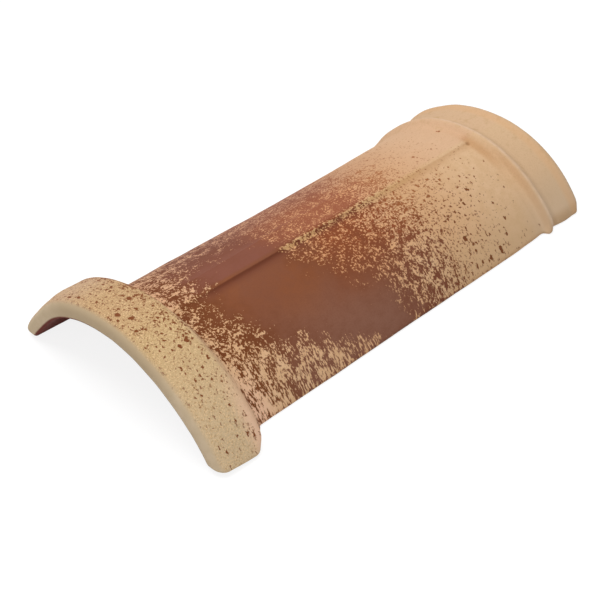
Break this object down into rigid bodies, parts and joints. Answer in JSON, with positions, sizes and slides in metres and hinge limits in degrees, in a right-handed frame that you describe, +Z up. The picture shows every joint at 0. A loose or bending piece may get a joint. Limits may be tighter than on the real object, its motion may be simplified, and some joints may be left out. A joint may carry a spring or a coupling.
{
  "type": "clay ridge tile",
  "caption": "Half-round clay ridge tile with a wide lapping collar at one end, a raised band along its crown, and a bead and spigot at the other; caps the ridge of a tiled roof.",
  "frame": {"origin": "on the ground under the middle of the tile, at the centre of the box round it", "axes": "+X along the tile from the collar to the spigot, +Y across it, +Z up from the ground"},
  "size_m": [0.4, 0.2162, 0.071],
  "materials": {
    "fired_clay": "matt fired clay, flashed from cream to brown"
  },
  "bodies": {
    "root": {"ridge_tile": "fired_clay"}
  },
  "joints": []
}
